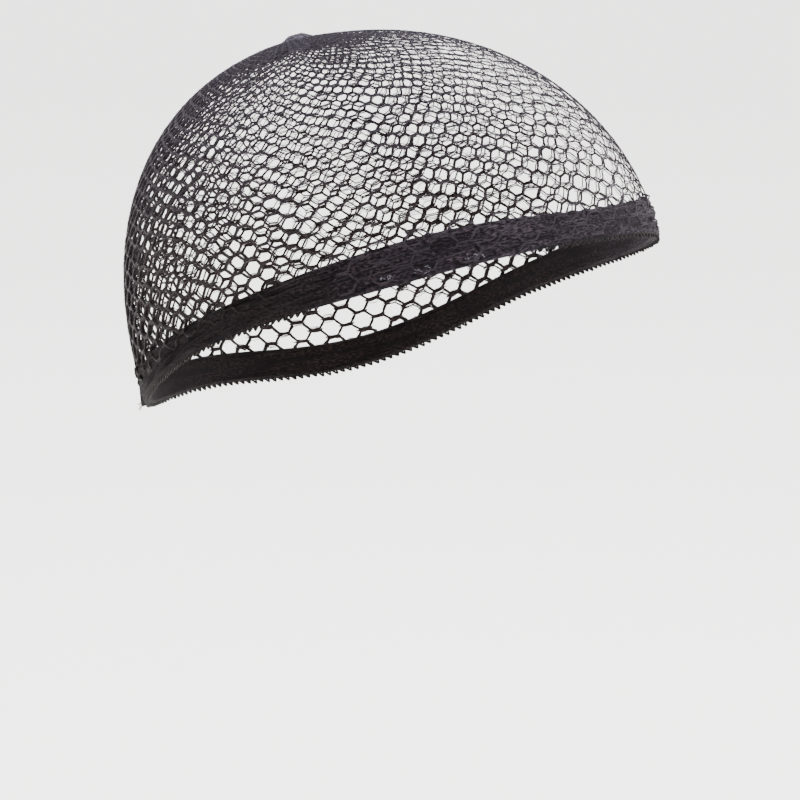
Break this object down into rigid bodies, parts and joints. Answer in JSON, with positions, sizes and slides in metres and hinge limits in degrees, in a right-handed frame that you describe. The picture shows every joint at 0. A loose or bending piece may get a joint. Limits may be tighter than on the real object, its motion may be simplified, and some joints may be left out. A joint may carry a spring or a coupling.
{
  "type": "wig cap",
  "caption": "Stretch net cap worn under a wig: a hexagon-mesh dome gathered in a knot at the crown, on a knitted elastic headband.",
  "frame": {"origin": "centre of the opening that the head goes into, in the plane of the band's lower edge", "axes": "+Z is the wearer's up, -Y the wearer's front, -X the wearer's right; the band's plane leans 23 degrees, forehead up"},
  "size_m": [0.151, 0.1835, 0.1278],
  "materials": {
    "net_yarn": "fine textured nylon yarn, slight sheen",
    "elastic_band": "matte ribbed elastic knit",
    "knot_yarn": "drawn nylon yarn, matte"
  },
  "bodies": {
    "root": {"net_crown": "net_yarn", "headband": "elastic_band", "crown_knot": "knot_yarn"}
  },
  "joints": []
}
